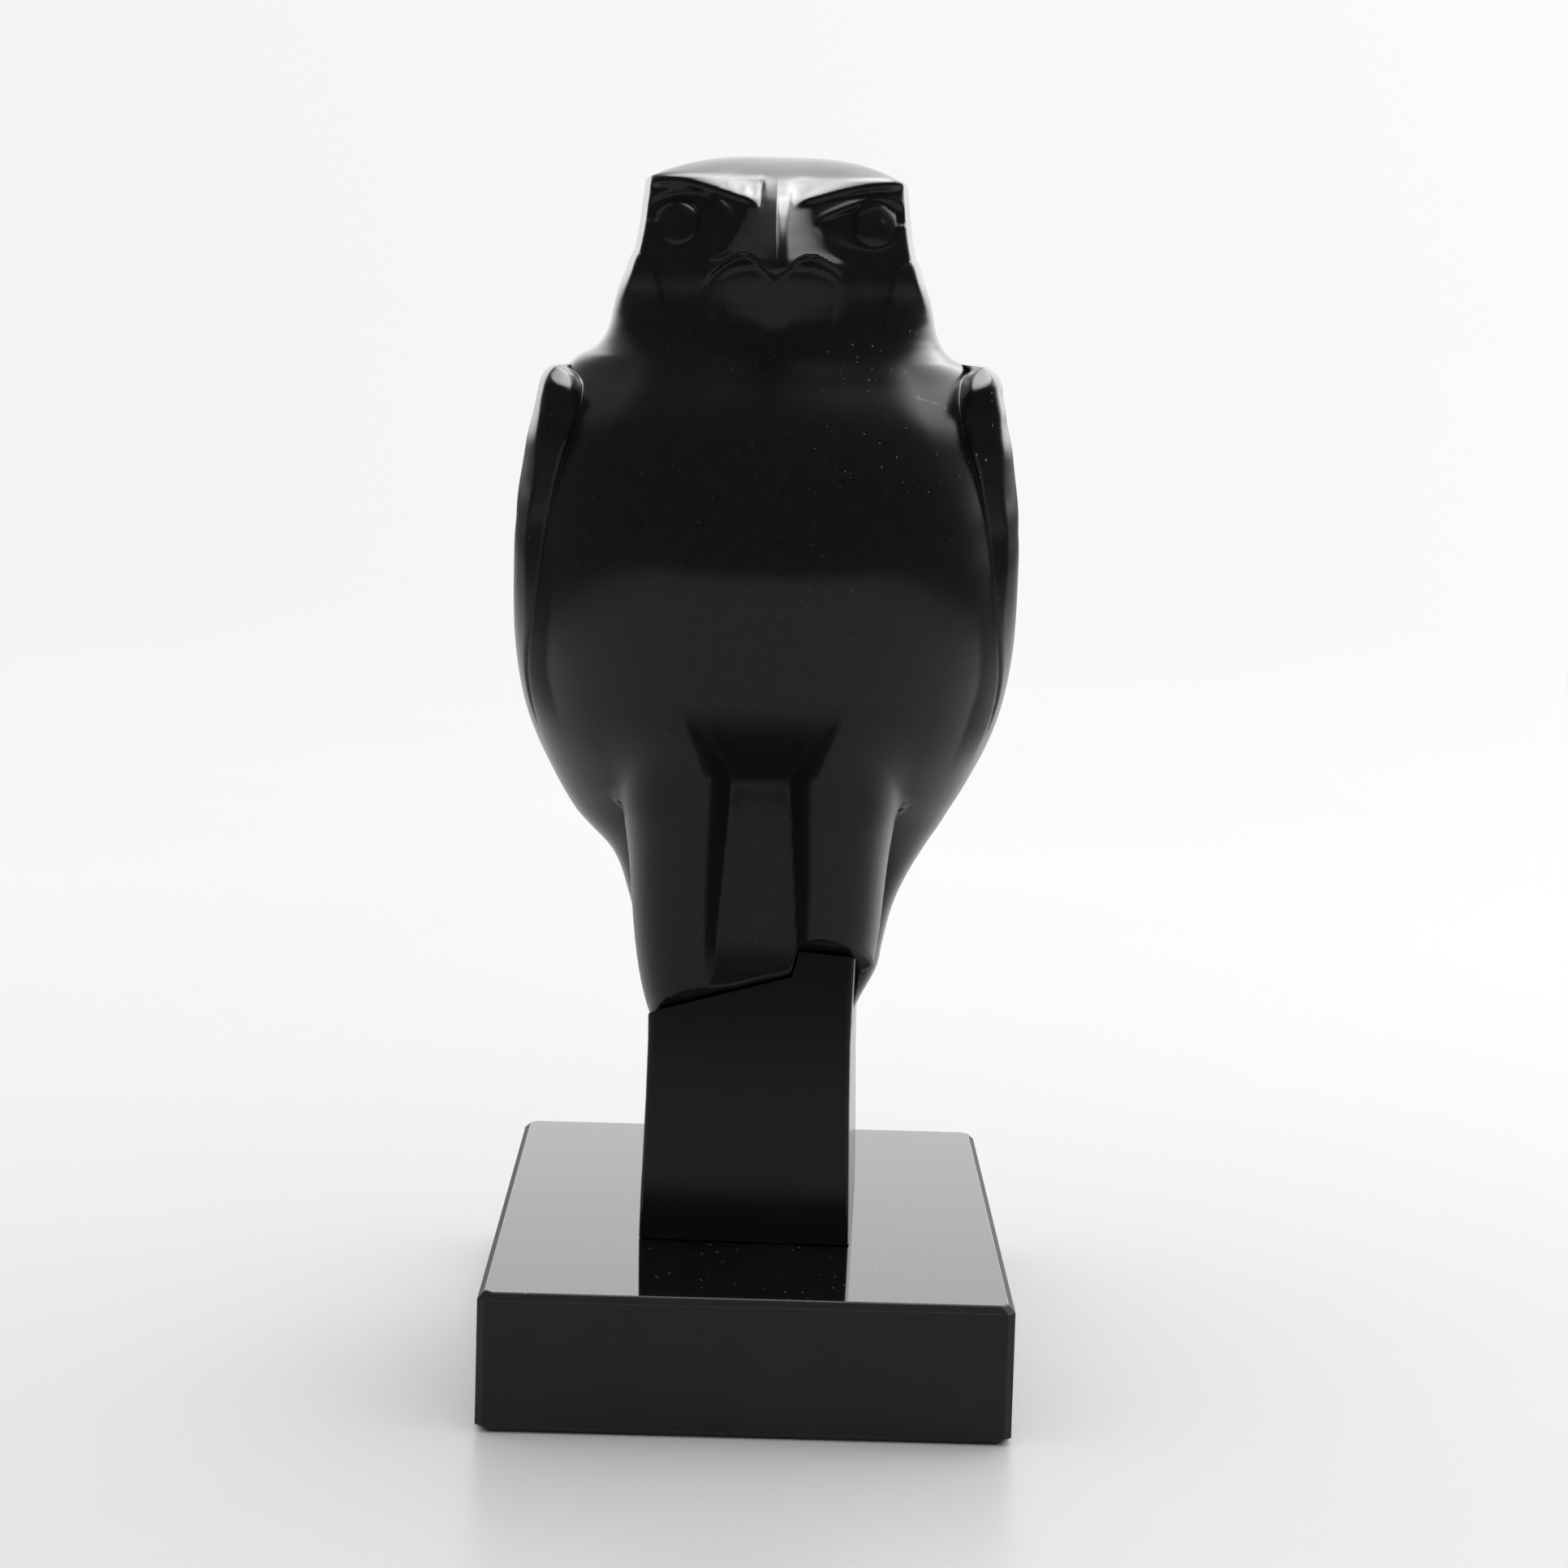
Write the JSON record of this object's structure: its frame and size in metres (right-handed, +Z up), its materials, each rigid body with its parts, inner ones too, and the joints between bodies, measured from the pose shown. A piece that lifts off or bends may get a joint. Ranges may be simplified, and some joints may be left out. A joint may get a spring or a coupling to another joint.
{
  "type": "horus falcon figure",
  "caption": "Dark cast figure of a standing falcon with a flat crown and folded wings, broken off below the legs, held by a plain block on a polished rectangular plinth.",
  "frame": {"origin": "centre of the plinth's underside", "axes": "+Z up through the figure, -Y the way the bird looks, +X to the right of someone who faces it"},
  "size_m": [0.0936, 0.15, 0.2215],
  "materials": {
    "figure_resin": "satin black-brown cast resin, with rougher specks on the shoulders and brows",
    "post_black": "smooth satin black",
    "plinth_black": "mirror-polished black"
  },
  "bodies": {
    "root": {"falcon": "figure_resin", "support_post": "post_black", "plinth": "plinth_black"}
  },
  "joints": []
}
